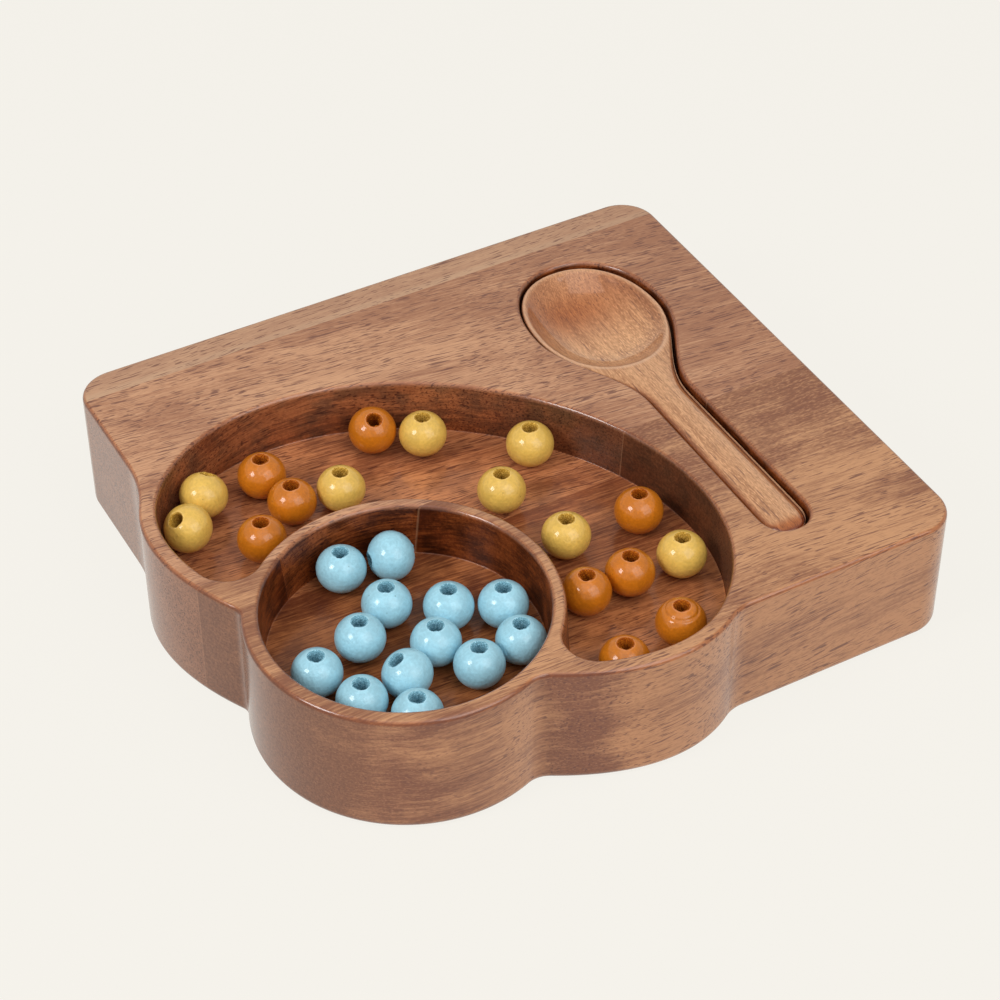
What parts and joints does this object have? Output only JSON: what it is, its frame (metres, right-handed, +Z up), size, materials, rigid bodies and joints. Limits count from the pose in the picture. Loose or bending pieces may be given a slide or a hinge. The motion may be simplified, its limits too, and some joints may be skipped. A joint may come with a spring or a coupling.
{
  "type": "bead sorting tray",
  "caption": "Wooden bead sorting tray with a round bowl, a crescent pocket wrapped round it, a spoon in its own recess, and loose round beads to scoop, sort and thread.",
  "frame": {"origin": "middle of the footprint, on the surface that the tray stands on", "axes": "+X along the grain and the long sides, +Y from the bowl corner towards the back edge, along the spoon from handle to tip, +Z up"},
  "size_m": [0.2142, 0.1952, 0.043],
  "materials": {
    "stave_front": "satin oiled hardwood, reddish brown",
    "stave_middle": "satin oiled hardwood, golden brown with dark pores",
    "stave_rear": "satin oiled hardwood with a pale sapwood edge",
    "spoon_wood": "semi-gloss oiled hardwood, lighter than the tray",
    "bead_blue": "gloss light blue paint on wood",
    "bead_orange": "gloss orange stain on wood",
    "bead_yellow": "gloss mustard yellow paint on wood"
  },
  "bodies": {
    "tray": {"tray_stave_front": "stave_front", "tray_stave_middle": "stave_middle", "tray_stave_rear": "stave_rear"},
    "spoon": {"spoon": "spoon_wood"},
    "blue_bead_01": {"blue_bead_01": "bead_blue"},
    "blue_bead_02": {"blue_bead_02": "bead_blue"},
    "blue_bead_03": {"blue_bead_03": "bead_blue"},
    "blue_bead_04": {"blue_bead_04": "bead_blue"},
    "blue_bead_05": {"blue_bead_05": "bead_blue"},
    "blue_bead_06": {"blue_bead_06": "bead_blue"},
    "blue_bead_07": {"blue_bead_07": "bead_blue"},
    "blue_bead_08": {"blue_bead_08": "bead_blue"},
    "blue_bead_09": {"blue_bead_09": "bead_blue"},
    "blue_bead_10": {"blue_bead_10": "bead_blue"},
    "blue_bead_11": {"blue_bead_11": "bead_blue"},
    "blue_bead_12": {"blue_bead_12": "bead_blue"},
    "blue_bead_13": {"blue_bead_13": "bead_blue"},
    "orange_bead_01": {"orange_bead_01": "bead_orange"},
    "orange_bead_02": {"orange_bead_02": "bead_orange"},
    "orange_bead_03": {"orange_bead_03": "bead_orange"},
    "orange_bead_04": {"orange_bead_04": "bead_orange"},
    "orange_bead_05": {"orange_bead_05": "bead_orange"},
    "orange_bead_06": {"orange_bead_06": "bead_orange"},
    "orange_bead_07": {"orange_bead_07": "bead_orange"},
    "orange_bead_08": {"orange_bead_08": "bead_orange"},
    "orange_bead_09": {"orange_bead_09": "bead_orange"},
    "yellow_bead_01": {"yellow_bead_01": "bead_yellow"},
    "yellow_bead_02": {"yellow_bead_02": "bead_yellow"},
    "yellow_bead_03": {"yellow_bead_03": "bead_yellow"},
    "yellow_bead_04": {"yellow_bead_04": "bead_yellow"},
    "yellow_bead_05": {"yellow_bead_05": "bead_yellow"},
    "yellow_bead_06": {"yellow_bead_06": "bead_yellow"},
    "yellow_bead_07": {"yellow_bead_07": "bead_yellow"},
    "yellow_bead_08": {"yellow_bead_08": "bead_yellow"}
  },
  "joints": [
    {"name": "spoon_lift", "type": "slide", "parent": "tray", "child": "spoon", "axis": [0, 0, 1], "range_m": [0, 0.06]},
    {"name": "blue_bead_01_lift", "type": "slide", "parent": "tray", "child": "blue_bead_01", "axis": [0, 0, 1], "range_m": [0, 0.06]},
    {"name": "blue_bead_02_lift", "type": "slide", "parent": "tray", "child": "blue_bead_02", "axis": [0, 0, 1], "range_m": [0, 0.06]},
    {"name": "blue_bead_03_lift", "type": "slide", "parent": "tray", "child": "blue_bead_03", "axis": [0, 0, 1], "range_m": [0, 0.06]},
    {"name": "blue_bead_04_lift", "type": "slide", "parent": "tray", "child": "blue_bead_04", "axis": [0, 0, 1], "range_m": [0, 0.06]},
    {"name": "blue_bead_05_lift", "type": "slide", "parent": "tray", "child": "blue_bead_05", "axis": [0, 0, 1], "range_m": [0, 0.06]},
    {"name": "blue_bead_06_lift", "type": "slide", "parent": "tray", "child": "blue_bead_06", "axis": [0, 0, 1], "range_m": [0, 0.06]},
    {"name": "blue_bead_07_lift", "type": "slide", "parent": "tray", "child": "blue_bead_07", "axis": [0, 0, 1], "range_m": [0, 0.06]},
    {"name": "blue_bead_08_lift", "type": "slide", "parent": "tray", "child": "blue_bead_08", "axis": [0, 0, 1], "range_m": [0, 0.06]},
    {"name": "blue_bead_09_lift", "type": "slide", "parent": "tray", "child": "blue_bead_09", "axis": [0, 0, 1], "range_m": [0, 0.06]},
    {"name": "blue_bead_10_lift", "type": "slide", "parent": "tray", "child": "blue_bead_10", "axis": [0, 0, 1], "range_m": [0, 0.06]},
    {"name": "blue_bead_11_lift", "type": "slide", "parent": "tray", "child": "blue_bead_11", "axis": [0, 0, 1], "range_m": [0, 0.06]},
    {"name": "blue_bead_12_lift", "type": "slide", "parent": "tray", "child": "blue_bead_12", "axis": [0, 0, 1], "range_m": [0, 0.06]},
    {"name": "blue_bead_13_lift", "type": "slide", "parent": "tray", "child": "blue_bead_13", "axis": [0, 0, 1], "range_m": [0, 0.06]},
    {"name": "orange_bead_01_lift", "type": "slide", "parent": "tray", "child": "orange_bead_01", "axis": [0, 0, 1], "range_m": [0, 0.06]},
    {"name": "orange_bead_02_lift", "type": "slide", "parent": "tray", "child": "orange_bead_02", "axis": [0, 0, 1], "range_m": [0, 0.06]},
    {"name": "orange_bead_03_lift", "type": "slide", "parent": "tray", "child": "orange_bead_03", "axis": [0, 0, 1], "range_m": [0, 0.06]},
    {"name": "orange_bead_04_lift", "type": "slide", "parent": "tray", "child": "orange_bead_04", "axis": [0, 0, 1], "range_m": [0, 0.06]},
    {"name": "orange_bead_05_lift", "type": "slide", "parent": "tray", "child": "orange_bead_05", "axis": [0, 0, 1], "range_m": [0, 0.06]},
    {"name": "orange_bead_06_lift", "type": "slide", "parent": "tray", "child": "orange_bead_06", "axis": [0, 0, 1], "range_m": [0, 0.06]},
    {"name": "orange_bead_07_lift", "type": "slide", "parent": "tray", "child": "orange_bead_07", "axis": [0, 0, 1], "range_m": [0, 0.06]},
    {"name": "orange_bead_08_lift", "type": "slide", "parent": "tray", "child": "orange_bead_08", "axis": [0, 0, 1], "range_m": [0, 0.06]},
    {"name": "orange_bead_09_lift", "type": "slide", "parent": "tray", "child": "orange_bead_09", "axis": [0, 0, 1], "range_m": [0, 0.06]},
    {"name": "yellow_bead_01_lift", "type": "slide", "parent": "tray", "child": "yellow_bead_01", "axis": [0, 0, 1], "range_m": [0, 0.06]},
    {"name": "yellow_bead_02_lift", "type": "slide", "parent": "tray", "child": "yellow_bead_02", "axis": [0, 0, 1], "range_m": [0, 0.06]},
    {"name": "yellow_bead_03_lift", "type": "slide", "parent": "tray", "child": "yellow_bead_03", "axis": [0, 0, 1], "range_m": [0, 0.06]},
    {"name": "yellow_bead_04_lift", "type": "slide", "parent": "tray", "child": "yellow_bead_04", "axis": [0, 0, 1], "range_m": [0, 0.06]},
    {"name": "yellow_bead_05_lift", "type": "slide", "parent": "tray", "child": "yellow_bead_05", "axis": [0, 0, 1], "range_m": [0, 0.06]},
    {"name": "yellow_bead_06_lift", "type": "slide", "parent": "tray", "child": "yellow_bead_06", "axis": [0, 0, 1], "range_m": [0, 0.06]},
    {"name": "yellow_bead_07_lift", "type": "slide", "parent": "tray", "child": "yellow_bead_07", "axis": [0, 0, 1], "range_m": [0, 0.06]},
    {"name": "yellow_bead_08_lift", "type": "slide", "parent": "tray", "child": "yellow_bead_08", "axis": [0, 0, 1], "range_m": [0, 0.06]}
  ]
}
